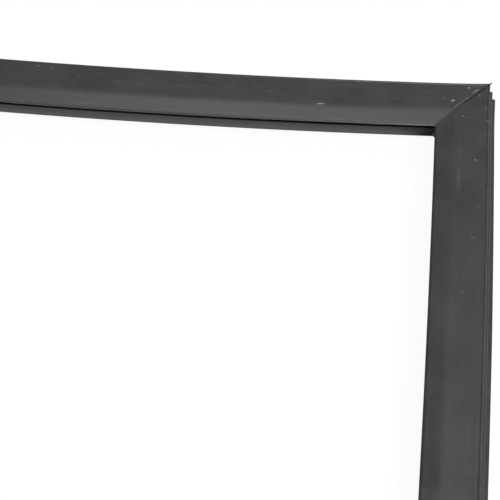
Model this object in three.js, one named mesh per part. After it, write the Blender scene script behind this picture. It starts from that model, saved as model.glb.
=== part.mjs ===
// Refrigerator door gasket: four mitred lengths of hollow soft PVC section, welded into a ring, with a
// flexible magnet strip in the pocket of each length.
// Millimetres, +Z up. The push-in darts stand on Z = 0, the sealing face looks up, and the ring is
// centred on the Z axis with its long sides along Y.

import * as THREE from 'three';

// Ring, between the outer corners of the sealing face
const ringWidth = 540;
const ringLength = 640;
const shortSideSag = 9.1; // the short sides hang inwards at their middle
const longSideBulge = 3.8; // the long sides stand outwards at their middle

// Section: u runs inwards from the outer edge of the face, h runs up from the underside of the base
const sectionHeight = 20.5;
const faceWidth = 30;
const faceSlopeWidth = 11; // the inner strip of the face, which slopes down to the lip
const lipDrop = 1.3; // where the slope ends and the rounded lip begins
const lipRoundWidth = 4.0;
const lipRoundHeight = 1.0;
const lipRoundTurn = 0.32 * Math.PI; // up to where the round runs into the slope
const lipEdgeRadius = 0.5;
const faceEdgeRadius = 0.7;
const faceWall = 0.9;
const flapWall = 1.1; // the free flap, at its root
const sideWall = 0.8;
const crossWall = 1.0; // between the pocket, the bellows and the lower chamber

// Magnet strip and its pocket
const magnetWidth = 10;
const magnetThickness = 3.2;
const magnetClearance = 0.3;
const magnetEndGap = 18; // from the corner of the face to the square-cut end of the strip
const pocketInset = 1.8; // from the edge of the face to the outside of the pocket

// Bellows between the pocket and the lower chamber
const bellowsFold = 2.2; // how far the inner wall folds out
const bellowsPinch = 1.2; // how far both walls pinch in above the lower chamber

// Fin and flange on the outer flank
const finReach = 2.2; // past the edge of the face
const finHeight = 10.6;
const finThickness = 0.9;
const flangeReach = 4.6; // past the edge of the face
const flangeThickness = 1.8;

// Lower chamber and base
const chamberHeight = 7.0;
const chamberInset = 0.8; // from the edge of the face in to the outer wall
const baseWall = 1.2;
const cornerBreak = 0.5; // small bevels on the base

// Upright inner wall of the base, and the open channel between it and the lower chamber
const uprightSetback = 7.4; // from the tip of the lip back to the wall
const uprightHeight = 6.4;
const uprightWall = 1.1;
const uprightBend = 3.8; // height of the bend, above which the wall leans back
const uprightLean = 0.8;
const channelWidth = 6.2;
const channelFloor = 1.5;

// Push-in dart under the base
const dartDepth = 7.5;
const dartCentre = 11.5;
const dartNeck = 2.2;
const dartNeckLength = 1.8;
const dartWidth = 7.2;
const dartSecondWidth = 5.2;
const dartTip = 1.6;
const reliefWidth = 1.9; // shallow relief each side of the neck
const reliefDepth = 0.4;
const barbThickness = 0.6;

// How finely the lengths are cut up
const spans = 9;
const mitreRun = 1.5 * faceWidth; // clear of the mitre, where the square sections begin
const arcSteps = 5;

const pocketWidth = magnetWidth + 2 * magnetClearance;
const pocketHeight = magnetThickness + 2 * magnetClearance;
const pocketStart = pocketInset + sideWall;
const pocketEnd = pocketStart + pocketWidth;
const pocketTop = sectionHeight - faceWall;
const pocketFloor = pocketTop - pocketHeight;
const pocketUnderside = pocketFloor - sideWall;
const pocketBack = pocketEnd + sideWall;
const baseInner = faceWidth - uprightSetback;
const chamberInner = baseInner - uprightWall - channelWidth;
const bellowsMiddle = (pocketUnderside + chamberHeight) / 2;
const bellowsFloor = chamberHeight - sideWall + crossWall;
const bellowsShoulder = finHeight - finThickness; // under the fin

// Closed outline of the section, counter-clockwise from the foot of the outer flange
function sectionOutline() {
  const outline = new THREE.Shape();
  outline.moveTo(-flangeReach, cornerBreak);
  outline.lineTo(-flangeReach + cornerBreak, 0);
  addDart(outline);
  addInnerFlank(outline);
  addFace(outline);
  addOuterFlank(outline);
  outline.closePath();
  return outline;
}

// Arrow-shaped dart with two pairs of barbs, down one side and up the other
function addDart(outline) {
  const secondBarb = (dartNeckLength + dartDepth) / 2;
  const side = [
    [dartNeck / 2 + reliefWidth, 0],
    [dartNeck / 2, reliefDepth],
    [dartNeck / 2, -dartNeckLength],
    [dartWidth / 2, -dartNeckLength - barbThickness],
    [dartWidth / 2, -dartNeckLength - 2 * barbThickness],
    [dartNeck / 2 + barbThickness, -secondBarb],
    [dartSecondWidth / 2, -secondBarb - barbThickness],
    [dartSecondWidth / 2, -secondBarb - 2 * barbThickness],
    [dartTip / 2, -dartDepth],
  ];
  for (const [halfWidth, height] of side) {
    outline.lineTo(dartCentre - halfWidth, height);
  }
  for (const [halfWidth, height] of [...side].reverse()) {
    outline.lineTo(dartCentre + halfWidth, height);
  }
}

// Upright wall, channel, inner wall of the lower chamber, and the folded inner wall of the bellows
function addInnerFlank(outline) {
  outline.lineTo(baseInner - cornerBreak, 0);
  outline.lineTo(baseInner, cornerBreak);
  outline.lineTo(baseInner, uprightBend);
  outline.lineTo(baseInner - uprightLean, uprightHeight);
  outline.lineTo(baseInner - uprightLean - uprightWall, uprightHeight);
  outline.lineTo(baseInner - uprightWall, uprightBend - cornerBreak);
  outline.lineTo(baseInner - uprightWall, channelFloor);
  outline.lineTo(chamberInner, channelFloor);
  outline.lineTo(chamberInner, chamberHeight - cornerBreak);
  outline.lineTo(chamberInner - bellowsPinch, chamberHeight + sideWall);
  outline.lineTo(pocketBack + bellowsFold, bellowsMiddle);
  outline.lineTo(pocketBack, pocketUnderside);
}

// Underside of the free flap, its rounded lip, and the face back to its rounded outer edge
function addFace(outline) {
  const slopeStart = faceWidth - faceSlopeWidth;
  const lipMiddle = sectionHeight - lipDrop - lipRoundHeight;
  const edgeCentreH = sectionHeight - faceEdgeRadius;
  outline.lineTo(pocketBack, pocketTop - sideWall);
  outline.lineTo(pocketBack + sideWall, sectionHeight - flapWall);
  outline.lineTo(slopeStart, sectionHeight - flapWall);
  outline.absarc(faceWidth - lipEdgeRadius, lipMiddle, lipEdgeRadius, -0.5 * Math.PI, 0, false);
  outline.absellipse(faceWidth - lipRoundWidth, lipMiddle, lipRoundWidth, lipRoundHeight, 0, lipRoundTurn);
  outline.lineTo(slopeStart, sectionHeight);
  outline.absarc(faceEdgeRadius, edgeCentreH, faceEdgeRadius, 0.5 * Math.PI, Math.PI, false);
}

// Outer flank: pocket wall, fin, pinched bellows wall, chamber wall and base flange
function addOuterFlank(outline) {
  outline.lineTo(pocketInset - sideWall, pocketTop - sideWall / 2);
  outline.lineTo(pocketInset, pocketTop - sideWall);
  outline.lineTo(pocketInset, finHeight + 2 * finThickness);
  outline.lineTo(-finReach + finThickness / 2, finHeight + finThickness / 2);
  outline.lineTo(-finReach, finHeight);
  outline.lineTo(-finReach + finThickness / 2, finHeight - finThickness / 2);
  outline.lineTo(chamberInset, finHeight + finThickness / 2);
  outline.lineTo(chamberInset, bellowsShoulder);
  outline.lineTo(chamberInset + bellowsPinch, chamberHeight + sideWall);
  outline.lineTo(chamberInset, chamberHeight - cornerBreak);
  outline.lineTo(chamberInset, flangeThickness + cornerBreak);
  outline.lineTo(-flangeReach + cornerBreak, flangeThickness);
  outline.lineTo(-flangeReach, flangeThickness - cornerBreak);
}

// Pocket that holds the magnet strip
function pocketHole() {
  return closedPath([
    [pocketStart, pocketFloor],
    [pocketEnd, pocketFloor],
    [pocketEnd, pocketTop],
    [pocketStart, pocketTop],
  ]);
}

// Air space of the bellows, one side wall inside its outline
function bellowsHole() {
  return closedPath([
    [chamberInset + bellowsPinch + crossWall, bellowsFloor],
    [chamberInner - bellowsPinch - crossWall, bellowsFloor],
    [pocketBack + bellowsFold - sideWall, bellowsMiddle],
    [pocketEnd - cornerBreak, pocketFloor - crossWall],
    [pocketStart + cornerBreak, pocketFloor - crossWall],
    [chamberInset + sideWall, bellowsShoulder],
  ]);
}

// Air space of the lower chamber
function chamberHole() {
  return closedPath([
    [chamberInset + sideWall, baseWall],
    [chamberInner - sideWall, baseWall],
    [chamberInner - sideWall, chamberHeight - 2 * sideWall],
    [chamberInner - 2 * sideWall, chamberHeight - sideWall],
    [chamberInset + 2 * sideWall, chamberHeight - sideWall],
    [chamberInset + sideWall, chamberHeight - 2 * sideWall],
  ]);
}

function closedPath(corners) {
  const path = new THREE.Path();
  path.moveTo(...corners[0]);
  for (const corner of corners.slice(1)) {
    path.lineTo(...corner);
  }
  path.closePath();
  return path;
}

// Four sides, counter-clockwise seen from above, each from its start corner to its end corner
const right = ringWidth / 2;
const back = ringLength / 2;
const sides = [
  { name: 'top', start: [right, back], end: [-right, back], sag: shortSideSag },
  { name: 'left', start: [-right, back], end: [-right, -back], sag: -longSideBulge },
  { name: 'bottom', start: [-right, -back], end: [right, -back], sag: shortSideSag },
  { name: 'right', start: [right, -back], end: [right, back], sag: -longSideBulge },
];

// Straight line between a side's corners: its length, direction, inward direction and middle
function chordOf(side) {
  const start = new THREE.Vector2(...side.start);
  const end = new THREE.Vector2(...side.end);
  const along = end.clone().sub(start).normalize();
  return {
    length: start.distanceTo(end),
    along,
    inward: new THREE.Vector2(-along.y, along.x),
    middle: start.clone().add(end).multiplyScalar(0.5),
  };
}

// Point and inward normal of a side's parabolic outer edge at a distance from its middle
function edgeAt(side, distance) {
  const chord = chordOf(side);
  const share = (2 * distance) / chord.length;
  const slope = (-8 * side.sag * distance) / chord.length ** 2;
  const point = chord.middle.clone();
  point.addScaledVector(chord.along, distance);
  point.addScaledVector(chord.inward, side.sag * (1 - share ** 2));
  const normal = chord.inward.clone().addScaledVector(chord.along, -slope).normalize();
  return { point, normal };
}

// At a corner both neighbours use the same line, on which each offset meets its like: the mitre
function mitreAt(side, neighbour) {
  const sideEnd = side.end.join() === neighbour.start.join();
  const mine = edgeAt(side, (sideEnd ? 0.5 : -0.5) * chordOf(side).length);
  const theirs = edgeAt(neighbour, (sideEnd ? -0.5 : 0.5) * chordOf(neighbour).length);
  const spread = 1 + mine.normal.dot(theirs.normal);
  const corner = new THREE.Vector2(...(sideEnd ? side.end : side.start));
  return { point: corner, normal: mine.normal.clone().add(theirs.normal).divideScalar(spread) };
}

// Evenly spaced square sections between two distances from the middle of a side
function squareStations(side, reach) {
  return Array.from({ length: spans + 1 }, (_, i) => edgeAt(side, -reach + (2 * reach * i) / spans));
}

// Extrudes a section in unit steps, then carries each step to its station along the side
function sweep(shape, stations) {
  const geometry = new THREE.ExtrudeGeometry(shape, {
    depth: stations.length - 1,
    steps: stations.length - 1,
    bevelEnabled: false,
    curveSegments: arcSteps,
  });
  const position = geometry.attributes.position;
  for (let i = 0; i < position.count; i += 1) {
    const station = stations[Math.round(position.getZ(i))];
    const x = station.point.x + station.normal.x * position.getX(i);
    const y = station.point.y + station.normal.y * position.getX(i);
    position.setXYZ(i, x, y, position.getY(i) + dartDepth);
  }
  geometry.computeVertexNormals();
  return geometry;
}

// One extruded length, mitred at both ends
function gasketLength(index) {
  const side = sides[index];
  const before = sides[(index + 3) % 4];
  const after = sides[(index + 1) % 4];
  const shape = sectionOutline();
  shape.holes.push(pocketHole(), bellowsHole(), chamberHole());
  const square = squareStations(side, chordOf(side).length / 2 - mitreRun);
  return sweep(shape, [mitreAt(side, before), ...square, mitreAt(side, after)]);
}

// One magnet strip, cut square short of the mitres and clear of its pocket all round
function magnetStrip(index) {
  const side = sides[index];
  const half = chordOf(side).length / 2;
  const lower = pocketFloor + magnetClearance;
  const inner = pocketStart + magnetClearance;
  const shape = new THREE.Shape();
  shape.moveTo(inner, lower);
  shape.lineTo(inner + magnetWidth, lower);
  shape.lineTo(inner + magnetWidth, lower + magnetThickness);
  shape.lineTo(inner, lower + magnetThickness);
  shape.closePath();
  const first = edgeAt(side, magnetEndGap - half);
  const last = edgeAt(side, half - magnetEndGap);
  return sweep(shape, [first, ...squareStations(side, half - mitreRun), last]);
}

function softPvc() {
  return new THREE.MeshStandardMaterial({ color: 0x47474a, roughness: 0.55, metalness: 0 });
}

function magnetRubber() {
  return new THREE.MeshStandardMaterial({ color: 0x2e2a27, roughness: 0.8, metalness: 0.1 });
}

function addMesh(group, name, geometry, material) {
  const mesh = new THREE.Mesh(geometry, material);
  mesh.name = name;
  group.add(mesh);
}

const gasket = new THREE.Group();
sides.forEach((side, index) => {
  addMesh(gasket, `${side.name}_length`, gasketLength(index), softPvc());
  addMesh(gasket, `${side.name}_magnet_strip`, magnetStrip(index), magnetRubber());
});

export default gasket;
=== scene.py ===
"""Refrigerator door gasket: a welded ring of hollow soft PVC section with magnet strips inside.

The sealing face looks up and the push-in darts stand on the floor, as the gasket lies on a bench.
"""

import math

import bpy
import numpy as np
from bpy.props import FloatProperty, FloatVectorProperty, PointerProperty, StringProperty
from mathutils import Matrix, Vector
from mathutils.geometry import tessellate_polygon


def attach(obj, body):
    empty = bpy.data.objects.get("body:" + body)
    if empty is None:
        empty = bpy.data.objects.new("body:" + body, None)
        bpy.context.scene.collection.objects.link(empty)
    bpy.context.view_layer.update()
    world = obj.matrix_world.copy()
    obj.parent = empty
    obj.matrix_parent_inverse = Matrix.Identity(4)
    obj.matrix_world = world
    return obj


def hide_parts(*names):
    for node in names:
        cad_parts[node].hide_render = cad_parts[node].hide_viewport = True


bl_info = {
    "name": "Refrigerator door gasket",
    "version": (1, 0, 0),
    "blender": (4, 5, 0),
    "location": "3D View > Sidebar > Gasket",
    "description": "Builds a welded magnetic door gasket around its fixed frame",
    "category": "Add Mesh",
}

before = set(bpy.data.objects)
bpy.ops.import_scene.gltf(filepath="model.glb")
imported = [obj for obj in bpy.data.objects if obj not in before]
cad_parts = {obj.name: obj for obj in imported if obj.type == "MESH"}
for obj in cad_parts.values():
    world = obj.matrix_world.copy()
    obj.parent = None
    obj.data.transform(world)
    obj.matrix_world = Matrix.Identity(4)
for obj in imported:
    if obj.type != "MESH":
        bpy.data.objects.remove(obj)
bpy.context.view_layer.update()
BODY = "root"
SIDE_NAMES = ("top", "left", "bottom", "right")
MM = 0.001


def length(name, description, default_mm):
    """A length property in metres, with its default given in millimetres."""
    return FloatProperty(
        name=name,
        description=description,
        default=default_mm * MM,
        subtype="DISTANCE",
        unit="LENGTH",
        precision=5,
    )


def colour(name, description, default):
    """A text property that holds an sRGB hex value."""
    return StringProperty(name=name, description=description, default=default)


class GasketSizes(bpy.types.PropertyGroup):
    """Sizes of the ring and of its section, the same as in the fixed frame."""

    ring_width: length("Ring width", "Between the outer corners of the face, along X", 540)
    ring_length: length("Ring length", "Between the outer corners of the face, along Y", 640)
    short_sag: length("Short side sag", "How far a short side hangs inwards at its middle", 9.1)
    long_bulge: length("Long side bulge", "How far a long side stands outwards at its middle", 3.8)
    section_height: length("Section height", "From the underside of the base to the face", 20.5)
    face_width: length("Face width", "From the outer edge to the tip of the lip", 30)
    face_slope: length("Face slope width", "The inner strip of the face that slopes to the lip", 11)
    lip_drop: length("Lip drop", "How far the face slopes down before the rounded lip", 1.3)
    lip_round_width: length("Lip round width", "Width of the rounded lip", 4.0)
    lip_round_height: length("Lip round height", "How far the rounded lip curves down", 1.0)
    lip_edge: length("Lip edge radius", "Small round under the tip of the lip", 0.5)
    face_wall: length("Face wall", "Thickness over the magnet pocket", 0.9)
    flap_wall: length("Flap wall", "Thickness of the free flap at its root", 1.1)
    side_wall: length("Side wall", "Thickness of the side walls", 0.8)
    cross_wall: length("Cross wall", "Thickness between the chambers", 1.0)
    crease_inset: length("Crease inset", "From the outer edge of the face to the shallow crease", 1.25)
    crease_depth: length("Crease depth", "Depth of the shallow crease", 0.22)
    pocket_inset: length("Pocket inset", "From the edge of the face to the outside of the pocket", 1.8)
    pocket_width: length("Pocket width", "Inside width of the magnet pocket", 10.6)
    pocket_height: length("Pocket height", "Inside height of the magnet pocket", 3.8)
    bellows_fold: length("Bellows fold", "How far the inner bellows wall folds out", 2.2)
    bellows_pinch: length("Bellows pinch", "How far both bellows walls pinch in", 1.2)
    fin_reach: length("Fin reach", "Fin past the edge of the face", 2.2)
    fin_height: length("Fin height", "Height of the fin's tip", 10.6)
    fin_thickness: length("Fin thickness", "Thickness of the fin", 0.9)
    flange_reach: length("Flange reach", "Base flange past the edge of the face", 4.6)
    flange_spread: length("Flange spread", "How much further the flange reaches along the long sides", 0.7)
    spread_run: length("Spread run", "Distance from a weld at which that spread is full", 160)
    flange_thickness: length("Flange thickness", "Thickness of the base flange", 1.8)
    chamber_height: length("Chamber height", "Height of the lower chamber", 7.0)
    chamber_inset: length("Chamber inset", "From the edge of the face to the chamber's outer wall", 0.8)
    upright_setback: length("Upright setback", "From the tip of the lip to the upright wall", 7.4)
    upright_height: length("Upright height", "Height of the upright wall", 6.4)
    upright_wall: length("Upright thickness", "Thickness of the upright wall", 1.1)
    upright_bend: length("Upright bend", "Height of the bend in the upright wall", 3.8)
    upright_lean: length("Upright lean", "How far the wall leans back above its bend", 0.8)
    channel_width: length("Channel width", "Open channel between the upright wall and the chamber", 6.2)
    channel_floor: length("Channel floor", "Height of the channel's floor", 1.5)
    base_wall: length("Base wall", "Thickness of the base", 1.2)
    edge_break: length("Edge break", "Size of the rounded edges of the base", 0.5)
    dart_depth: length("Dart depth", "Depth of the push-in dart under the base", 7.5)
    dart_centre: length("Dart centre", "From the edge of the face to the middle of the dart", 11.5)
    dart_neck: length("Dart neck", "Width of the neck of the dart", 2.2)
    dart_neck_length: length("Dart neck length", "Length of the neck of the dart", 1.8)
    dart_width: length("Dart width", "Across the first pair of barbs", 7.2)
    dart_second_width: length("Second barb width", "Across the second pair of barbs", 5.2)
    dart_tip: length("Dart tip", "Width of the tip of the dart", 1.6)
    barb: length("Barb thickness", "Thickness of a barb's edge", 0.6)
    relief_width: length("Relief width", "Shallow relief beside the neck", 1.9)
    relief_depth: length("Relief depth", "Depth of that relief", 0.4)
    mitre_run: length("Mitre run", "Length over which square sections turn into the mitre", 45)


class GasketWeld(bpy.types.PropertyGroup):
    """Sizes of the heat welds at the corners."""

    groove_depth: length("Groove depth", "Depth of the line where the two cut ends meet", 0.85)
    groove_width: length("Groove width", "Half width of that line", 0.36)
    bead_height: length("Bead height", "Height of the low bead beside the groove, on the short sides", 0.22)
    flare: length("Flare", "How far the weld pushes the outer edge of the face outwards", 0.5)
    flare_reach: length("Flare reach", "How far along the side the flare can be seen", 25)
    flare_width: length("Flare width", "How far inwards the flare can be seen", 9)
    flash_reach: length("Flash reach", "Thin flash left on the weld's flanks", 0.3)
    flash_tip: length("Flash tip", "Pointed flash left at the outer corner of the face", 1.7)
    flash_root: length("Flash root", "Half thickness of the flash at its root", 0.45)
    flash_sink: length("Flash sink", "How deep the root of the flash lies under the skin", 0.6)
    flash_trim: length("Flash trim", "How deep the flash is trimmed under the face", 1.0)
    flash_tip_width: length("Flash tip width", "Half width of the pointed flash", 0.75)
    web: length("Web", "Legs of the web that fills the inner corner of the base", 8.4)


class GasketFinish(bpy.types.PropertyGroup):
    """Colours of the soft PVC, its marks, the painted highlight along the welds and the magnet strip."""

    pvc_dark: colour("PVC, dark", "Darker tone of the extruded soft PVC", "#2C2C2F")
    pvc_light: colour("PVC, light", "Lighter tone of the extruded soft PVC", "#363639")
    scuff: colour("Scuff", "Tone of dry scuffs and handling marks", "#57575A")
    lint: colour("Lint", "Tone of the pale flecks", "#8A8987")
    # Painted highlight: pale tone of the strips laid along the welds, where the mitre catches the light
    weld_highlight_tone: colour("Weld bead", "Tone of the dry bead beside the weld", "#8C8C8E")
    magnet: colour("Magnet strip", "Ferrite-filled rubber", "#2E2A27")
    floor: colour("Floor", "Plain pale floor", "#F4F4F4")


class GasketStage(bpy.types.PropertyGroup):
    """Camera: its lens, place and aim."""

    focal_length: FloatProperty(name="Focal length", description="Camera lens in millimetres", default=142.35)
    camera_from_corner: FloatVectorProperty(
        name="Camera place",
        description="From the far right outer corner of the face, in metres",
        default=(-0.06012, -0.74237, 0.84917),
        subtype="XYZ",
        unit="LENGTH",
    )
    pitch: FloatProperty(
        name="Camera pitch", description="Below the horizon", default=math.radians(54.033), subtype="ANGLE"
    )
    yaw: FloatProperty(
        name="Camera yaw", description="To the right of +Y", default=math.radians(-5.825), subtype="ANGLE"
    )


def linear(hex_value):
    """sRGB hex text to linear RGBA."""
    channels = np.array([int(hex_value[i : i + 2], 16) for i in (1, 3, 5)]) / 255
    steep = ((channels + 0.055) / 1.055) ** 2.4
    return (*np.where(channels <= 0.04045, channels / 12.92, steep), 1.0)


def rounded(corners, steps):
    """Closed outline whose corners (u, h, radius) are rounded.

    Each corner becomes a short quadratic curve from a point before it to one after it, as far along
    the two edges as a circle of that radius would touch them, and at most 45% of either edge.
    """
    points = corners[:, :2]
    before = np.roll(points, 1, axis=0) - points
    after = np.roll(points, -1, axis=0) - points
    before_length = np.linalg.norm(before, axis=1)
    after_length = np.linalg.norm(after, axis=1)
    cosine = np.sum(before * after, axis=1) / (before_length * after_length)
    half_angle = np.arccos(np.clip(cosine, -1, 1)) / 2
    reach = np.minimum(corners[:, 2] / np.tan(half_angle), 0.45 * np.minimum(before_length, after_length))
    first = points + before * (reach / before_length)[:, None]
    last = points + after * (reach / after_length)[:, None]
    t = np.linspace(0, 1, steps)[None, :, None]
    curve = (1 - t) ** 2 * first[:, None] + 2 * t * (1 - t) * points[:, None] + t**2 * last[:, None]
    return curve.reshape(-1, 2)


def refined(outline, spacing):
    """The same closed outline with its long edges cut into pieces no longer than the spacing."""
    edges = np.roll(outline, -1, axis=0) - outline
    lengths = np.linalg.norm(edges, axis=1)
    kept = lengths > 1e-7
    outline, edges, lengths = outline[kept], edges[kept], lengths[kept]
    counts = np.maximum(1, np.ceil(lengths / spacing)).astype(int)
    owner = np.repeat(np.arange(len(outline)), counts)
    index = np.arange(len(owner)) - np.repeat(np.cumsum(counts) - counts, counts)
    return outline[owner] + edges[owner] * (index / counts[owner])[:, None]


def dart_corners(s):
    """Corners of the arrow-shaped dart, from the base down one side and up the other."""
    second = (s.dart_neck_length + s.dart_depth) / 2
    first = s.dart_neck_length
    half = np.array(
        [
            (s.dart_neck / 2 + s.relief_width, 0, 0.3 * MM),
            (s.dart_neck / 2, s.relief_depth, 0.25 * MM),
            (s.dart_neck / 2, -first, 0.4 * MM),
            (s.dart_width / 2, -first - s.barb, 0.25 * MM),
            (s.dart_width / 2, -first - 2 * s.barb, 0.25 * MM),
            (s.dart_neck / 2 + s.barb, -second, 0.3 * MM),
            (s.dart_second_width / 2, -second - s.barb, 0.25 * MM),
            (s.dart_second_width / 2, -second - 2 * s.barb, 0.25 * MM),
            (s.dart_tip / 2, -s.dart_depth, 0.3 * MM),
        ]
    )
    left = half * (-1, 1, 1) + (s.dart_centre, 0, 0)
    right = half[::-1] + (s.dart_centre, 0, 0)
    return np.concatenate([left, right])


def levels(s):
    """Heights and widths of the section that follow from its sizes."""
    pocket_top = s.section_height - s.face_wall
    pocket_floor = pocket_top - s.pocket_height
    pocket_start = s.pocket_inset + s.side_wall
    pocket_end = pocket_start + s.pocket_width
    underside = pocket_floor - s.side_wall
    base_inner = s.face_width - s.upright_setback
    return {
        "pocket_top": pocket_top,
        "pocket_floor": pocket_floor,
        "pocket_start": pocket_start,
        "pocket_end": pocket_end,
        "pocket_back": pocket_end + s.side_wall,
        "underside": underside,
        "bellows_middle": (underside + s.chamber_height) / 2,
        "bellows_floor": s.chamber_height - s.side_wall + s.cross_wall,
        "base_inner": base_inner,
        "chamber_inner": base_inner - s.upright_wall - s.channel_width,
        "shoulder": s.fin_height - s.fin_thickness,
    }


def inner_flank_corners(s, level):
    """Upright wall, channel, inner chamber wall and folded bellows wall."""
    base = level["base_inner"]
    inner = level["chamber_inner"]
    back = level["pocket_back"]
    return [
        (base, 0, s.edge_break),
        (base, s.upright_bend, 2.5 * MM),
        (base - s.upright_lean, s.upright_height, 0.5 * MM),
        (base - s.upright_lean - s.upright_wall, s.upright_height, 0.5 * MM),
        (base - s.upright_wall, s.upright_bend - s.edge_break, 2 * MM),
        (base - s.upright_wall, s.channel_floor, 0.6 * MM),
        (inner, s.channel_floor, 0.6 * MM),
        (inner, s.chamber_height - s.edge_break, 0.5 * MM),
        (inner - s.bellows_pinch, s.chamber_height + s.side_wall, 0.5 * MM),
        (back + s.bellows_fold, level["bellows_middle"], 0.5 * MM),
        (back, level["underside"], 0.5 * MM),
    ]


def lip_curve(s, lip_top):
    """Rounded top of the lip: part of an ellipse, from its tip back up to where the slope touches it."""
    angle = np.linspace(0, 0.32 * np.pi, 8)
    u = s.face_width - s.lip_round_width * (1 - np.cos(angle))
    h = lip_top - s.lip_round_height * (1 - np.sin(angle))
    return np.stack([u, h, np.full(len(angle), 0.3 * MM)], axis=1).tolist()


def face_corners(s, level):
    """Flap, round lip, face with its shallow crease, and round outer edge."""
    back = level["pocket_back"]
    slope_start = s.face_width - s.face_slope
    lip_top = s.section_height - s.lip_drop
    lip_bottom = lip_top - s.lip_round_height - s.lip_edge
    flap_under = s.section_height - s.flap_wall
    half_crease = s.crease_depth * 1.6
    return [
        (back, flap_under, 0.8 * MM),
        (slope_start, flap_under, 4 * MM),
        (s.face_width - s.lip_edge / 2, lip_bottom, s.lip_edge),
        *lip_curve(s, lip_top),
        (slope_start, s.section_height, 33 * MM),
        (s.crease_inset + half_crease, s.section_height, 0.25 * MM),
        (s.crease_inset, s.section_height - s.crease_depth, 0.15 * MM),
        (s.crease_inset - half_crease, s.section_height, 0.25 * MM),
        (0, s.section_height, 0.7 * MM),
    ]


def outer_flank_corners(s, level):
    """Edge of the face plate, pocket wall, fin, pinched bellows wall, chamber wall and base flange."""
    half_fin = s.fin_thickness / 2
    return [
        (0, s.section_height - 1.2 * MM, 0.35 * MM),
        (s.pocket_inset, level["pocket_top"] - s.side_wall, 0.5 * MM),
        (s.pocket_inset, s.fin_height + 2 * s.fin_thickness, 0.5 * MM),
        (-s.fin_reach, s.fin_height + half_fin, 0.4 * MM),
        (-s.fin_reach, s.fin_height - half_fin, 0.4 * MM),
        (s.chamber_inset, s.fin_height + half_fin, 0.4 * MM),
        (s.chamber_inset, level["shoulder"], 0.5 * MM),
        (s.chamber_inset + s.bellows_pinch, s.chamber_height + s.side_wall, 0.5 * MM),
        (s.chamber_inset, s.chamber_height - s.edge_break, 0.6 * MM),
        (s.chamber_inset, s.flange_thickness + s.edge_break, 0.6 * MM),
        (-s.flange_reach, s.flange_thickness, s.edge_break),
        (-s.flange_reach, 0, s.edge_break),
    ]


def section_outline(s):
    """Outer outline of the section, counter-clockwise in (u inwards, h up), in metres."""
    level = levels(s)
    corners = np.concatenate(
        [
            dart_corners(s),
            np.array(inner_flank_corners(s, level)),
            np.array(face_corners(s, level)),
            np.array(outer_flank_corners(s, level)),
        ]
    )
    return refined(rounded(corners, 5), 1.0 * MM)


def section_holes(s):
    """Pocket, bellows space and lower chamber, each clockwise."""
    level = levels(s)
    middle = level["bellows_middle"]
    small = 0.3 * MM
    start, end = level["pocket_start"], level["pocket_end"]
    floor, top = level["pocket_floor"], level["pocket_top"]
    outer = s.chamber_inset + s.side_wall
    inner = level["chamber_inner"] - s.side_wall
    roof = s.chamber_height - s.side_wall
    pocket = [
        (start, floor, small),
        (end, floor, small),
        (end, top, small),
        (start, top, small),
    ]
    bellows = [
        (s.chamber_inset + s.bellows_pinch + s.cross_wall, level["bellows_floor"], small),
        (level["chamber_inner"] - s.bellows_pinch - s.cross_wall, level["bellows_floor"], small),
        (level["pocket_back"] + s.bellows_fold - s.side_wall, middle, small),
        (end - s.edge_break, floor - s.cross_wall, small),
        (start + s.edge_break, floor - s.cross_wall, small),
        (outer, level["shoulder"], small),
    ]
    chamber = [
        (outer, s.base_wall, small),
        (inner, s.base_wall, small),
        (inner, roof - s.side_wall, small),
        (inner - s.side_wall, roof, small),
        (outer + s.side_wall, roof, small),
        (outer, roof - s.side_wall, small),
    ]
    return [rounded(np.array(hole), 3)[::-1] for hole in (pocket, bellows, chamber)]


def outward_normals(outline):
    """Unit normals of a closed outline, pointing out of the material, from its two neighbours."""
    along = np.roll(outline, -1, axis=0) - np.roll(outline, 1, axis=0)
    normals = np.stack([along[:, 1], -along[:, 0]], axis=1)
    return normals / np.linalg.norm(normals, axis=1)[:, None]


def side_of(s, index):
    """Chord of one side: middle, direction along it, inward direction, half length and sag."""
    half = np.array([s.ring_width / 2, s.ring_length / 2])
    corners = half * np.array([(1, 1), (-1, 1), (-1, -1), (1, -1)])
    start = corners[index]
    end = corners[(index + 1) % 4]
    along = (end - start) / np.linalg.norm(end - start)
    return {
        "middle": (start + end) / 2,
        "along": along,
        "inward": np.array([-along[1], along[0]]),
        "half": np.linalg.norm(end - start) / 2,
        "sag": s.short_sag if index % 2 == 0 else -s.long_bulge,
    }


def edge_at(side, distance):
    """Points, tangents and inward normals of a side's outer edge.

    The edge is a parabola: its offset from the chord is the sag times one less the square of the
    share of the way from the middle to a corner.
    """
    share = distance / side["half"]
    offset = side["sag"] * (1 - share**2)
    slope = -2 * side["sag"] * share / side["half"]
    point = side["middle"] + distance[:, None] * side["along"] + offset[:, None] * side["inward"]
    tangent = side["along"] + slope[:, None] * side["inward"]
    tangent /= np.linalg.norm(tangent, axis=1)[:, None]
    return point, tangent, np.stack([-tangent[:, 1], tangent[:, 0]], axis=1)


def mitre_at(s, index, at_end):
    """Corner at one end of a side, the side's tangent there, and the mitre's run for each metre inwards."""
    side = side_of(s, index)
    other = side_of(s, (index + (1 if at_end else 3)) % 4)
    point, tangent, normal = edge_at(side, np.array([side["half"] if at_end else -side["half"]]))
    _, _, other_normal = edge_at(other, np.array([-other["half"] if at_end else other["half"]]))
    inward = (normal[0] + other_normal[0]) / (1 + normal[0] @ other_normal[0])
    return point[0], tangent[0], inward


def mitre_shear(s, index, at_end):
    """How far the mitre runs along the side for each metre inwards: the tangent of half the turn."""
    _, tangent, inward = mitre_at(s, index, at_end)
    return float(inward @ tangent)


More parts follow.
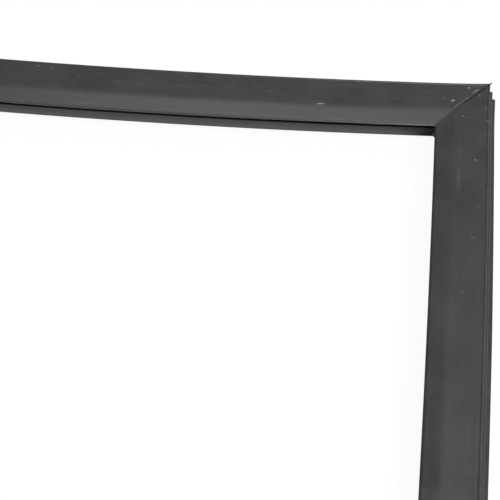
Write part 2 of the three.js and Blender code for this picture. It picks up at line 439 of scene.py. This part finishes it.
def stations(s, index):
    """Distances from a side's middle, packed closely at the two welds."""
    half = side_of(s, index)["half"]
    weld = np.arange(0, 3.0, 0.15) * MM
    run = s.mitre_run * (np.linspace(0, 1, 22) ** 1.6)
    near = np.concatenate([weld, run[run > weld[-1]]])
    middle = np.linspace(-half + s.mitre_run, half - s.mitre_run, 60)[1:-1]
    return np.concatenate([-half + near, middle, (half - near)[::-1]])


def carried(s, index, distance, u, shear_start, shear_end):
    """Plan position of offset u at each station.

    It is the edge point plus u along the inward normal, plus a shift along the tangent that grows
    from nothing at a mitre run from the corner to the mitre's own shear at the corner.
    """
    side = side_of(s, index)
    point, tangent, normal = edge_at(side, distance)
    from_start = np.clip(1 - (distance + side["half"]) / s.mitre_run, 0, 1)
    from_end = np.clip(1 - (side["half"] - distance) / s.mitre_run, 0, 1)
    shear = from_start * shear_start + from_end * shear_end
    plan = point[:, None] + u[..., None] * normal[:, None]
    return plan + (u * shear[:, None])[..., None] * tangent[:, None]


def weld_distance(s, index, distance, u, shear_start, shear_end):
    """Distance of each point from the nearest mitre plane."""
    half = side_of(s, index)["half"]
    from_start = (distance + half)[:, None]
    from_end = (half - distance)[:, None]
    tilt_start = math.cos(math.atan(shear_start))
    tilt_end = math.cos(math.atan(shear_end))
    start = from_start * (1 - u * shear_start / s.mitre_run) * tilt_start
    end = from_end * (1 + u * shear_end / s.mitre_run) * tilt_end
    return start, end


def surface_relief(s, weld, index, distance, u, shear_start, shear_end):
    """Height of the surface over the plain section.

    A narrow bell-shaped groove lies on each mitre and fades out before the lip's tip, with a low bead
    beside it on the short sides.
    """
    start, end = weld_distance(s, index, distance, u, shear_start, shear_end)
    groove = np.exp(-((start / weld.groove_width) ** 2)) + np.exp(-((end / weld.groove_width) ** 2))
    relief = -weld.groove_depth * groove * np.clip((s.face_width - 1 * MM - u) / (3 * MM), 0, 1)
    if index % 2 == 0:
        wander = 0.75 + 0.25 * np.sin(u / (1.3 * MM)) * np.sin(u / (0.7 * MM) + 1)
        reach = np.clip((u - 0.5 * MM) / (2 * MM), 0, 1) * np.clip((19 * MM - u) / (8 * MM), 0, 1)
        centre = 2.4 * weld.groove_width
        bead = np.exp(-(((start - centre) / weld.groove_width) ** 2))
        bead += np.exp(-(((end - centre) / weld.groove_width) ** 2))
        relief += weld.bead_height * bead * reach * wander
    return relief


def weld_flare(s, weld, index, distance, u):
    """Outward shift of the outer edge near a weld, gone at the flare's reach and width."""
    half = side_of(s, index)["half"]
    near = np.clip(1 - (half - np.abs(distance[:, None])) / weld.flare_reach, 0, 1) ** 2
    return -weld.flare * near * np.clip(1 - u / weld.flare_width, 0, 1)


def flange_spread(s, index, distance, u):
    """Outward shift of a long side's flange, growing evenly from nothing at the welds."""
    if index % 2 == 0:
        return 0.0
    away = np.clip((side_of(s, index)["half"] - np.abs(distance[:, None])) / s.spread_run, 0, 1)
    outer = np.clip((-u - s.fin_reach) / (s.flange_reach - s.fin_reach), 0, 1)
    return -s.flange_spread * away * outer


def flap_wave(s, index, distance, u):
    """Gentle rise and fall of the free flap, growing towards the lip and gone at the welds."""
    half = side_of(s, index)["half"]
    free = np.clip((u - 14 * MM) / (s.face_width - 14 * MM), 0, 1) ** 1.5
    x = distance[:, None]
    wave = 0.5 * np.sin(x / (37 * MM) + index) + 0.3 * np.sin(x / (17 * MM) + 2 * index)
    wave += 0.2 * np.sin(x / (71 * MM) + 3 * index)
    fade = np.clip((half - np.abs(x)) / (60 * MM), 0, 1)
    return 0.22 * MM * free * wave * fade


def ring_grid(s, weld, index, outline, with_relief):
    """Grid of points, stations by outline points, for one closed outline carried along one side."""
    shear_start = mitre_shear(s, index, False)
    shear_end = mitre_shear(s, index, True)
    distance = stations(s, index)
    u = np.broadcast_to(outline[:, 0], (len(distance), len(outline)))
    h = np.broadcast_to(outline[:, 1], u.shape)
    if with_relief:
        relief = surface_relief(s, weld, index, distance, u, shear_start, shear_end)
        normals = outward_normals(outline)
        h = h + relief * normals[:, 1] + flap_wave(s, index, distance, u) * (h > 12.5 * MM)
        moved = weld_flare(s, weld, index, distance, u) + flange_spread(s, index, distance, u)
        u = u + relief * normals[:, 0] + moved
    plan = carried(s, index, distance, u, shear_start, shear_end)
    return np.concatenate([plan, (h + s.dart_depth)[..., None]], axis=2), distance


def tube_faces(rows, columns, first):
    """Quads of a grid that closes round its columns."""
    row = np.arange(rows - 1)[:, None]
    column = np.arange(columns)[None, :]
    nxt = (column + 1) % columns
    here, there = row * columns, (row + 1) * columns
    quads = np.stack([here + column, here + nxt, there + nxt, there + column], axis=-1)
    return quads.reshape(-1, 4) + first


def cap_faces(outlines, firsts):
    """Triangles that fill the section between its outer outline and its holes."""
    loops = [[Vector((u, h, 0)) for u, h in outline] for outline in outlines]
    numbers = np.concatenate([first + np.arange(len(o)) for o, first in zip(outlines, firsts)])
    return numbers[np.array(tessellate_polygon(loops))]


def facing(points, faces, direction):
    """The same triangles, turned so that they all face along the direction."""
    a, b, c = (points[faces[:, i]] for i in range(3))
    wrong = np.cross(b - a, c - a) @ direction < 0
    turned = faces.copy()
    turned[wrong] = faces[wrong][:, ::-1]
    return turned


def mesh_object(name, points, quads, triangles, material):
    """New object from arrays of points, quads and triangles, smooth shaded."""
    sizes = np.concatenate([np.full(len(quads), 4), np.full(len(triangles), 3)])
    corners = np.concatenate([quads.ravel(), triangles.ravel()]).astype(np.int32)
    mesh = bpy.data.meshes.new(name)
    mesh.vertices.add(len(points))
    mesh.vertices.foreach_set("co", points.astype(np.float32).ravel())
    mesh.loops.add(len(corners))
    mesh.loops.foreach_set("vertex_index", corners)
    mesh.polygons.add(len(sizes))
    mesh.polygons.foreach_set("loop_start", (np.cumsum(sizes) - sizes).astype(np.int32))
    mesh.polygons.foreach_set("loop_total", sizes.astype(np.int32))
    mesh.polygons.foreach_set("use_smooth", np.ones(len(sizes), bool))
    mesh.update(calc_edges=True)
    mesh.validate()
    mesh.materials.append(material)
    piece = bpy.data.objects.new(name, mesh)
    bpy.context.scene.collection.objects.link(piece)
    return piece


def add_uv(piece, along, around):
    """UV map in metres: along the length, and round the section."""
    mesh = piece.data
    vertex = np.zeros(len(mesh.loops), np.int32)
    mesh.loops.foreach_get("vertex_index", vertex)
    layer = mesh.uv_layers.new(name="along_and_around")
    layer.data.foreach_set("uv", np.stack([along[vertex], around[vertex]], axis=1).astype(np.float32).ravel())


def length_piece(s, weld, index, material):
    """One mitred length: its outer skin, its three hollows and its two cut ends."""
    outlines = [section_outline(s), *section_holes(s)]
    points, quads, along, around, firsts = [], [], [], [], []
    first = 0
    for number, outline in enumerate(outlines):
        grid, distance = ring_grid(s, weld, index, outline, number == 0)
        rows, columns = grid.shape[:2]
        girth = np.concatenate([[0], np.cumsum(np.linalg.norm(np.diff(outline, axis=0), axis=1))])
        points.append(grid.reshape(-1, 3))
        quads.append(tube_faces(rows, columns, first))
        along.append(np.repeat(distance, columns))
        around.append(np.tile(girth, rows))
        firsts.append(first)
        first += rows * columns
    points = np.concatenate(points)
    start_cap = cap_faces(outlines, firsts)
    ends = [f + (rows - 1) * len(o) for f, o in zip(firsts, outlines)]
    end_cap = cap_faces(outlines, ends)
    direction = np.append(side_of(s, index)["along"], 0)
    caps = np.concatenate([facing(points, start_cap, -direction), facing(points, end_cap, direction)])
    piece = mesh_object(f"{SIDE_NAMES[index]}_skin", points, np.concatenate(quads), caps, material)
    add_uv(piece, np.concatenate(along) + 0.7 * index, np.concatenate(around))
    piece.data.set_sharp_from_angle(angle=math.radians(50))
    return piece


def mitre_frame(s, index):
    """Corner at the end of a side, the mitre's run for each metre inwards, and the way across it."""
    corner, _, inward = mitre_at(s, index, True)
    return corner, inward, np.array([-inward[1], inward[0]]) / np.linalg.norm(inward)


def flash_piece(s, weld, index, material):
    """Thin weld flash round one corner: sunk on the face, low on the flanks, pointed at the outer corner.

    Across the weld it is a narrow ridge; its height follows the section with a slow wander, and a
    bell-shaped rise makes the tip.
    """
    outline = section_outline(s)
    normals = outward_normals(outline)
    u, h = outline[:, 0], outline[:, 1]
    girth = np.concatenate([[0], np.cumsum(np.linalg.norm(np.diff(outline, axis=0), axis=1))])
    wander = 0.6 + 0.4 * np.sin(girth / (1.9 * MM) + index) * np.sin(girth / (0.8 * MM) + 2 * index)
    on_face = (h > s.section_height - 4 * MM) & (u > 0.6 * MM)
    height = np.where(on_face, -weld.flash_trim, weld.flash_reach * wander)
    height = np.where(h < 0.2 * MM, -weld.flash_sink / 2, height)
    tip = np.exp(-((u**2 + (h - s.section_height + 0.5 * MM) ** 2) / weld.flash_tip_width**2))
    height = height + (weld.flash_tip - weld.flash_reach) * tip
    pointing = np.stack([-np.ones(len(u)), np.full(len(u), -0.35)], axis=1)
    direction = normals * (1 - tip[:, None]) + pointing * tip[:, None]
    corner, inward, across = mitre_frame(s, index)
    rows = []
    root, crest = weld.flash_root, 0.25 * weld.flash_root
    for out, half in ((-weld.flash_sink, root), (height, crest), (height, -crest), (-weld.flash_sink, -root)):
        at_u = u + direction[:, 0] * out
        at_h = h + direction[:, 1] * out
        plan = corner + at_u[:, None] * inward + half * across
        rows.append(np.column_stack([plan, at_h + s.dart_depth]))
    points = np.concatenate(rows)
    quads = tube_faces(4, len(u), 0)
    return mesh_object(f"{SIDE_NAMES[index]}_weld_flash", points, quads, np.zeros((0, 3), int), material)


def web_piece(s, weld, index, material):
    """Small triangular web that fills the inner corner of the base at one weld."""
    corner, inward, across = mitre_frame(s, index)
    base = levels(s)["base_inner"] - 0.4 * MM
    wide = weld.web / math.sqrt(2)
    plan = np.array([(base, 0), (base + weld.web / 2, wide), (base + weld.web / 2, -wide)])
    ring = corner + plan[:, :1] * inward + plan[:, 1:] * across
    heights = s.dart_depth + np.array([s.edge_break, s.upright_bend])
    points = np.concatenate([np.column_stack([ring, np.full(3, height)]) for height in heights])
    quads = np.array([[0, 1, 4, 3], [1, 2, 5, 4], [2, 0, 3, 5]])
    caps = np.array([[0, 2, 1], [3, 4, 5]])
    piece = mesh_object(f"{SIDE_NAMES[index]}_weld_web", points, quads, caps, material)
    piece.data.set_sharp_from_angle(angle=math.radians(30))
    return piece


def face_profile(s):
    """Heights of the face from its outer edge to its lip, as arrays of u and h."""
    outline = section_outline(s)
    top = outline[(outline[:, 1] > s.section_height - 3.2 * MM) & (outward_normals(outline)[:, 1] > 0.05)]
    order = np.argsort(top[:, 0])
    return top[order, 0], top[order, 1]


def marks_piece(s, index, name, marks, lift, material):
    """Flat marks on the face of one side, joined into one piece.

    Each row of marks is a distance from the middle of the side, an offset inwards, a length, a
    width, a turn and a bend. A mark is a strip that tapers to both ends as a half circle does and
    bends as a parabola, laid on the face.
    """
    t, c = np.meshgrid(np.linspace(-1, 1, 9), np.array([-1.0, 0.0, 1.0]), indexing="ij")
    along = t.ravel() * marks[:, 2:3] / 2
    across = (c * np.sqrt(np.clip(1 - t**2, 0.01, 1))).ravel() * marks[:, 3:4] / 2
    across = across + marks[:, 5:6] * t.ravel() ** 2
    turn = marks[:, 4:5]
    distance = marks[:, 0:1] + along * np.cos(turn) - across * np.sin(turn)
    u = marks[:, 1:2] + along * np.sin(turn) + across * np.cos(turn)
    side = side_of(s, index)
    point, _, _ = edge_at(side, distance.ravel())
    plan = point + u.ravel()[:, None] * side["inward"]
    profile_u, profile_h = face_profile(s)
    wave = flap_wave(s, index, distance.ravel(), u.reshape(-1, 1))[:, 0]
    dome = np.tile((1 - c**2).ravel(), len(marks))
    height = np.interp(u.ravel(), profile_u, profile_h) + wave + lift * (0.15 + dome) + s.dart_depth
    row = np.arange(8)[:, None] * 3 + np.arange(2)[None, :]
    quads = np.stack([row, row + 3, row + 4, row + 1], axis=-1).reshape(-1, 4)
    quads = (quads[None] + 27 * np.arange(len(marks))[:, None, None]).reshape(-1, 4)
    points = np.column_stack([plan, height])
    quads = facing(points, quads, np.array([0.0, 0.0, 1.0]))
    return mesh_object(f"{SIDE_NAMES[index]}_{name}", points, quads, np.zeros((0, 3), int), material)


def seen_marks(s, index, rows):
    """Marks given in millimetres from the corner at +X +Y, for the two sides that meet there."""
    half = side_of(s, index)["half"]
    marks = np.array(rows, float) * (MM, MM, MM, MM, math.pi / 180, MM)
    if index == 0:
        marks[:, 0] -= half
    else:
        marks[:, 0] = half - marks[:, 0]
    return marks


def scattered_marks(s, index, count, longest, widest, seed, clear_of_corner):
    """Random marks over the face of one side, mostly short, at any turn."""
    random = np.random.default_rng(seed + index)
    half = side_of(s, index)["half"]
    distance = random.uniform(-half + 35 * MM, half - 35 * MM, count)
    if clear_of_corner:
        kept = distance > 10 * MM if index == 0 else distance < -10 * MM
        distance = distance[kept]
    count = len(distance)
    size = longest * random.uniform(0.25, 1, count) ** 2
    return np.column_stack(
        [
            distance,
            random.uniform(2.5 * MM, 25 * MM, count),
            size,
            widest * random.uniform(0.5, 1, count),
            random.uniform(-1.2, 1.2, count),
            size * random.uniform(-0.25, 0.25, count),
        ]
    )


# Distance from the corner, offset inwards, length, width, turn in degrees, bend; all else in millimetres
TOP_LINT = (
    (20.1, 13.0, 2.3, 1.3, 12, 0.1),
    (11.5, 3.2, 1.7, 0.9, 0, 0.1),
    (25.5, 11.3, 1.1, 0.35, 60, 0.1),
    (93.9, 18.8, 4.6, 0.7, 2, 0.0),
    (256.2, 3.5, 1.6, 0.5, 10, 0.0),
    (248.4, 3.5, 0.9, 0.5, 0, 0.0),
)
RIGHT_LINT = (
    (24.9, 14.6, 0.8, 0.5, 30, 0.0),
    (18.2, 1.9, 1.6, 0.35, 5, 0.0),
    (27.1, 0.9, 1.7, 0.3, 90, 0.0),
    (50.5, 14.7, 1.1, 0.4, 15, 0.0),
    (55.8, 7.5, 1.2, 0.6, 60, 0.1),
    (9.1, 5.6, 1.3, 0.3, 20, 0.1),
)
TOP_SCUFFS = (
    (33.0, 6.8, 3.2, 0.5, 50, 0.6),
    (46.7, 12.6, 2.6, 0.4, 90, 0.1),
    (51.8, 12.1, 4.6, 0.4, 4, 0.2),
    (61.0, 11.0, 3.5, 0.35, -6, 0.3),
    (99.8, 8.7, 3.0, 0.35, 75, 0.5),
    (122.7, 11.3, 5.2, 0.4, -10, 0.9),
    (118.0, 13.5, 2.5, 0.35, 35, 0.4),
    (130.3, 8.4, 6.5, 0.4, 3, 0.4),
    (137.4, 11.5, 4.5, 0.4, 0, 0.7),
    (144.9, 9.5, 4.0, 0.35, 8, 0.3),
    (133.0, 5.5, 3.0, 0.3, 60, 0.3),
    (150.9, 22.1, 3.5, 0.5, 2, 0.2),
    (154.0, 10.8, 3.6, 0.35, -35, 0.5),
    (161.9, 9.9, 6.0, 0.4, 30, 1.0),
    (158.0, 13.5, 3.0, 0.3, 80, 0.5),
    (173.1, 11.2, 6.0, 0.4, -2, 0.3),
    (195.1, 11.8, 6.0, 0.4, 0, 0.3),
    (204.9, 11.2, 2.5, 0.35, 80, 0.4),
    (209.0, 10.4, 7.0, 0.5, 3, 0.3),
    (232.0, 8.0, 4.0, 0.35, -40, 0.6),
)
RIGHT_SCUFFS = (
    (20.9, 10.0, 6.5, 0.45, 125, 0.9),
    (26.0, 13.0, 3.0, 0.35, 150, 0.4),
    (87.7, 5.6, 3.6, 0.4, 95, 0.3),
    (108.8, 7.4, 4.4, 0.4, 100, 0.5),
    (101.9, 18.7, 5.0, 0.35, 20, 0.6),
    (134.5, 15.8, 6.0, 0.35, 5, 0.7),
    (145.1, 12.3, 3.5, 0.35, 40, 0.5),
    (73.2, 4.2, 3.0, 0.35, 80, 0.3),
)
# Painted highlight along the welds of the short sides: pale strips where the mitre catches the light; same
# columns as above
WELD_HIGHLIGHTS = (
    (7.5, 5.5, 5.6, 1.2, 40, 0.1),
    (16.3, 15.1, 8.0, 0.3, 45, 0.0),
    (12.1, 10.8, 3.0, 0.35, 44, 0.0),
)


def join_node(tree, kind, settings, links):
    """Adds a node, sets its properties and inputs, and links its inputs to other nodes' outputs."""
    node = tree.nodes.new(kind)
    for name, value in settings.items():
        if hasattr(node, name):
            setattr(node, name, value)
        else:
            node.inputs[name].default_value = value
    for name, source in links.items():
        tree.links.new(source, node.inputs[name])
    return node


def new_material(name):
    """Material with an empty node tree, its output node and a Principled shader."""
    material = bpy.data.materials.new(name)
    material.use_nodes = True
    tree = material.node_tree
    tree.nodes.clear()
    shader = tree.nodes.new("ShaderNodeBsdfPrincipled")
    output = tree.nodes.new("ShaderNodeOutputMaterial")
    tree.links.new(shader.outputs["BSDF"], output.inputs["Surface"])
    return material, tree, shader


def noise_node(tree, source, settings):
    """Noise texture over a vector."""
    return join_node(tree, "ShaderNodeTexNoise", settings, {"Vector": source})


def tone_ramp(tree, source, reach, dark, light):
    """Colour ramp between two hex values over the given reach of a noise."""
    ramp = join_node(tree, "ShaderNodeValToRGB", {}, {"Fac": source})
    for element, position, hex_value in zip(ramp.color_ramp.elements, reach, (dark, light)):
        element.position = position
        element.color = linear(hex_value)
    return ramp


def soft_pvc_material(finish):
    """Extruded soft PVC, dark grey: a semi-matt skin with fine die lines along it.

    The die lines and slow mottling come from drawing the warm section through its die, and the pale
    dry scuffs from handling.
    """
    material, tree, shader = new_material("extruded_soft_pvc")
    uv = join_node(tree, "ShaderNodeUVMap", {"uv_map": "along_and_around"}, {})
    place = join_node(tree, "ShaderNodeTexCoord", {}, {})
    stretched = join_node(
        tree, "ShaderNodeMapping", {"Scale": (1 / 0.160, 1 / 0.0011, 1)}, {"Vector": uv.outputs["UV"]}
    )
    at = place.outputs["Object"]
    lines = noise_node(tree, stretched.outputs["Vector"], {"Scale": 1.0, "Detail": 3.0, "Roughness": 0.55})
    mottle = noise_node(tree, at, {"Scale": 1 / 0.022, "Detail": 4.0, "Roughness": 0.6})
    grain = noise_node(tree, at, {"Scale": 1 / 0.0009, "Detail": 2.0, "Roughness": 0.6})
    blend = join_node(
        tree, "ShaderNodeMix", {"data_type": "FLOAT", "Factor": 0.35},
        {"A": mottle.outputs["Fac"], "B": lines.outputs["Fac"]},
    )
    tone = tone_ramp(tree, blend.outputs["Result"], (0.38, 0.64), finish.pvc_dark, finish.pvc_light)
    scuffed = join_node(
        tree, "ShaderNodeMapping", {"Scale": (1 / 0.030, 1 / 0.004, 1), "Rotation": (0, 0, 0.5)},
        {"Vector": uv.outputs["UV"]},
    )
    scuffs = noise_node(tree, scuffed.outputs["Vector"], {"Scale": 1.0, "Detail": 6.0, "Roughness": 0.7})
    scuff_mask = join_node(
        tree, "ShaderNodeMapRange", {"From Min": 0.60, "From Max": 0.78, "To Max": 0.5},
        {"Value": scuffs.outputs["Fac"]},
    )
    painted = join_node(
        tree, "ShaderNodeMix", {"data_type": "RGBA", "B": linear(finish.scuff)},
        {"Factor": scuff_mask.outputs["Result"], "A": tone.outputs["Color"]},
    )
    rough = join_node(
        tree, "ShaderNodeMapRange", {"From Min": 0.3, "From Max": 0.7, "To Min": 0.25, "To Max": 0.34},
        {"Value": mottle.outputs["Fac"]},
    )
    fine = join_node(
        tree, "ShaderNodeBump", {"Strength": 0.35, "Distance": 0.00006}, {"Height": grain.outputs["Fac"]}
    )
    ridged = join_node(
        tree, "ShaderNodeBump", {"Strength": 0.25, "Distance": 0.00012},
        {"Height": lines.outputs["Fac"], "Normal": fine.outputs["Normal"]},
    )
    tree.links.new(painted.outputs["Result"], shader.inputs["Base Color"])
    tree.links.new(rough.outputs["Result"], shader.inputs["Roughness"])
    tree.links.new(ridged.outputs["Normal"], shader.inputs["Normal"])
    shader.inputs["IOR"].default_value = 1.53
    return material


def speckled_material(name, grain, detail, reach, dark, light, roughness):
    """Material whose tone runs between two hex values over a noise of the given grain, and its noise."""
    material, tree, shader = new_material(name)
    place = join_node(tree, "ShaderNodeTexCoord", {}, {})
    noise = noise_node(tree, place.outputs["Object"], {"Scale": 1 / grain, "Detail": detail})
    tone = tone_ramp(tree, noise.outputs["Fac"], reach, dark, light)
    tree.links.new(tone.outputs["Color"], shader.inputs["Base Color"])
    shader.inputs["Roughness"].default_value = roughness
    return material, tree, shader, noise


def lint_material(finish):
    """Pale dry lint and dust: fully matt, a little uneven."""
    return speckled_material("dry_lint", 0.0005, 1.0, (0.3, 0.6), "#6E6E6D", finish.lint, 0.95)[0]


def dry_pvc_and_highlight_material(name, hex_value):
    """Scuffed soft PVC gone matt and paler, and the painted highlight along the welds: the same plastic made
    paler, broken up by fine noise.
    """
    return speckled_material(name, 0.0011, 2.0, (0.4, 0.6), "#38383B", hex_value, 0.5)[0]


def magnet_material(finish):
    """Ferrite-filled rubber: matt dark brown, with a fine gritty grain from its filler."""
    material, tree, shader, grit = speckled_material(
        "ferrite_filled_rubber", 0.0006, 3.0, (0.3, 0.7), "#231F1D", finish.magnet, 0.8
    )
    bump = join_node(
        tree, "ShaderNodeBump", {"Strength": 0.5, "Distance": 0.00008}, {"Height": grit.outputs["Fac"]}
    )
    tree.links.new(bump.outputs["Normal"], shader.inputs["Normal"])
    return material


def floor_material(finish):
    """Plain matt board, white to the camera and to mirrors, that keeps the object's shadow."""
    material = bpy.data.materials.new("matt_white_board")
    material.use_nodes = True
    tree = material.node_tree
    tree.nodes.clear()
    output = tree.nodes.new("ShaderNodeOutputMaterial")
    board = join_node(tree, "ShaderNodeBsdfDiffuse", {"Color": linear(finish.floor)}, {})
    white = join_node(tree, "ShaderNodeEmission", {"Color": (1, 1, 1, 1), "Strength": 1.0}, {})
    ray = join_node(tree, "ShaderNodeLightPath", {}, {})
    share = join_node(
        tree, "ShaderNodeMath", {"operation": "MULTIPLY"}, {0: ray.outputs["Is Camera Ray"]}
    )
    share.inputs[1].default_value = 0.95
    mixed = join_node(
        tree, "ShaderNodeMixShader", {},
        {0: share.outputs[0], 1: board.outputs["BSDF"], 2: white.outputs["Emission"]},
    )
    tree.links.new(mixed.outputs["Shader"], output.inputs["Surface"])
    return material


def room_world():
    """Plain grey room, dark on its -X side."""
    world = bpy.data.worlds.new("grey_room")
    world.use_nodes = True
    tree = world.node_tree
    background = tree.nodes["Background"]
    background.inputs["Color"].default_value = (1, 1, 1, 1)
    place = join_node(tree, "ShaderNodeTexCoord", {}, {})
    axes = join_node(tree, "ShaderNodeSeparateXYZ", {}, {"Vector": place.outputs["Generated"]})
    strength = join_node(
        tree, "ShaderNodeMapRange",
        {
            "interpolation_type": "SMOOTHSTEP",
            "From Min": -0.5,
            "From Max": -0.12,
            "To Min": 0.06,
            "To Max": 0.42,
        },
        {"Value": axes.outputs["X"]},
    )
    tree.links.new(strength.outputs["Result"], background.inputs["Strength"])
    return world


class GASKET_OT_lengths(bpy.types.Operator):
    """Builds the four mitred lengths of soft PVC section"""

    bl_idname = "gasket.lengths"
    bl_label = "Soft PVC lengths"

    def execute(self, context):
        sizes, weld = context.scene.gasket_sizes, context.scene.gasket_weld
        material = soft_pvc_material(context.scene.gasket_finish)
        for index, name in enumerate(SIDE_NAMES):
            piece = length_piece(sizes, weld, index, material)
            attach(piece, BODY)
            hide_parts(f"{name}_length")
        return {"FINISHED"}


class GASKET_OT_welds(bpy.types.Operator):
    """Builds the flash and the small web at each corner weld"""

    bl_idname = "gasket.welds"
    bl_label = "Corner welds"

    def execute(self, context):
        sizes, weld = context.scene.gasket_sizes, context.scene.gasket_weld
        material = bpy.data.materials["extruded_soft_pvc"]
        for index in range(4):
            for build in (flash_piece, web_piece):
                piece = build(sizes, weld, index, material)
                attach(piece, BODY)
        return {"FINISHED"}


class GASKET_OT_marks(bpy.types.Operator):
    """Lays lint, scuffs and a painted highlight along the welds on the face"""

    bl_idname = "gasket.marks"
    bl_label = "Lint and scuffs"

    def execute(self, context):
        sizes, finish = context.scene.gasket_sizes, context.scene.gasket_finish
        lint = lint_material(finish)
        scuffed = dry_pvc_and_highlight_material("scuffed_soft_pvc", finish.scuff)
        # Painted highlight: pale matt strips along the welds stand in for light caught by the mitre
        weld_highlight_paint = dry_pvc_and_highlight_material("painted_weld_highlight_pvc", finish.weld_highlight_tone)
        for index in range(4):
            specks = scattered_marks(sizes, index, 14, 1.4 * MM, 0.5 * MM, 3, index in (0, 3))
            scuffs = scattered_marks(sizes, index, 60, 7 * MM, 0.45 * MM, 20, index in (0, 3))
            if index in (0, 3):
                seen_lint = TOP_LINT if index == 0 else RIGHT_LINT
                seen_scuffs = TOP_SCUFFS if index == 0 else RIGHT_SCUFFS
                specks = np.concatenate([specks, seen_marks(sizes, index, seen_lint)])
                scuffs = np.concatenate([scuffs, seen_marks(sizes, index, seen_scuffs)])
            pieces = [
                marks_piece(sizes, index, "lint", specks, 0.12 * MM, lint),
                marks_piece(sizes, index, "scuffs", scuffs, 0.03 * MM, scuffed),
            ]
            if index % 2 == 0:
                # Painted highlight along the welds of the short sides
                highlight_strips = seen_marks(sizes, index, WELD_HIGHLIGHTS)
                pieces.append(marks_piece(sizes, index, "painted_weld_highlight", highlight_strips, 0.28 * MM, weld_highlight_paint))
            for piece in pieces:
                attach(piece, BODY)
        return {"FINISHED"}


class GASKET_OT_magnets(bpy.types.Operator):
    """Gives the four magnet strips their finish"""

    bl_idname = "gasket.magnets"
    bl_label = "Magnet strips"

    def execute(self, context):
        material = magnet_material(context.scene.gasket_finish)
        for name in SIDE_NAMES:
            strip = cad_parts[f"{name}_magnet_strip"]
            strip.data.materials.clear()
            strip.data.materials.append(material)
        return {"FINISHED"}


class GASKET_OT_stage(bpy.types.Operator):
    """Sets the floor, the light and the camera"""

    bl_idname = "gasket.stage"
    bl_label = "Stage"

    def execute(self, context):
        scene = context.scene
        self.add_floor(scene.gasket_finish)
        self.add_light(scene)
        self.add_camera(scene)
        scene.view_settings.view_transform = "Standard"
        return {"FINISHED"}

    def add_floor(self, finish):
        half = 6.0
        points = np.array([(-half, -half, 0), (half, -half, 0), (half, half, 0), (-half, half, 0)])
        floor = mesh_object(
            "floor", points, np.array([[0, 1, 2, 3]]), np.zeros((0, 3), int), floor_material(finish)
        )

    def add_light(self, scene):
        scene.world = room_world()
        for name, place, target, width, depth, power in (
            ("key_softbox", (1.15, -0.8, 2.2), (0.2, 0.25, 0.0), 1.0, 1.0, 76),
            ("back_panel", (-0.1, 2.2, 6.7), (0.2, 0.3, 0.0), 1.8, 2.2, 37),
        ):
            lamp = bpy.data.lights.new(name, "AREA")
            lamp.shape = "RECTANGLE"
            lamp.size = width
            lamp.size_y = depth
            lamp.energy = power
            box = bpy.data.objects.new(name, lamp)
            box.location = place
            box.rotation_euler = (Vector(target) - Vector(place)).to_track_quat("-Z", "Y").to_euler()
            scene.collection.objects.link(box)

    def add_camera(self, scene):
        sizes, stage = scene.gasket_sizes, scene.gasket_stage
        corner = Vector(
            (sizes.ring_width / 2, sizes.ring_length / 2, sizes.section_height + sizes.dart_depth)
        )
        level = math.cos(stage.pitch)
        forward = Vector((math.sin(stage.yaw) * level, math.cos(stage.yaw) * level, -math.sin(stage.pitch)))
        sideways = Vector((math.cos(stage.yaw), -math.sin(stage.yaw), 0))
        upward = sideways.cross(forward)
        lens = bpy.data.cameras.new("camera")
        lens.lens = stage.focal_length
        lens.sensor_width = 36
        lens.shift_x = -0.001
        lens.shift_y = 0.001
        lens.clip_end = 20
        camera = bpy.data.objects.new("camera", lens)
        turn = Matrix((sideways, upward, -forward)).transposed()
        camera.matrix_world = Matrix.Translation(corner + Vector(stage.camera_from_corner)) @ turn.to_4x4()
        scene.collection.objects.link(camera)
        scene.camera = camera


class GASKET_PT_panel(bpy.types.Panel):
    """Lists the gasket's builders"""

    bl_label = "Gasket"
    bl_idname = "GASKET_PT_panel"
    bl_space_type = "VIEW_3D"
    bl_region_type = "UI"
    bl_category = "Gasket"

    def draw(self, context):
        for operator in OPERATORS:
            self.layout.operator(operator.bl_idname)


OPERATORS = (GASKET_OT_lengths, GASKET_OT_welds, GASKET_OT_marks, GASKET_OT_magnets, GASKET_OT_stage)
CLASSES = (GasketSizes, GasketWeld, GasketFinish, GasketStage, *OPERATORS, GASKET_PT_panel)


def register():
    for item in CLASSES:
        bpy.utils.register_class(item)
    bpy.types.Scene.gasket_sizes = PointerProperty(type=GasketSizes)
    bpy.types.Scene.gasket_weld = PointerProperty(type=GasketWeld)
    bpy.types.Scene.gasket_finish = PointerProperty(type=GasketFinish)
    bpy.types.Scene.gasket_stage = PointerProperty(type=GasketStage)


def unregister():
    del bpy.types.Scene.gasket_stage
    del bpy.types.Scene.gasket_finish
    del bpy.types.Scene.gasket_weld
    del bpy.types.Scene.gasket_sizes
    for item in reversed(CLASSES):
        bpy.utils.unregister_class(item)


def main():
    register()
    bpy.ops.gasket.lengths()
    bpy.ops.gasket.welds()
    bpy.ops.gasket.marks()
    bpy.ops.gasket.magnets()
    bpy.ops.gasket.stage()


if __name__ == "__main__":
    main()
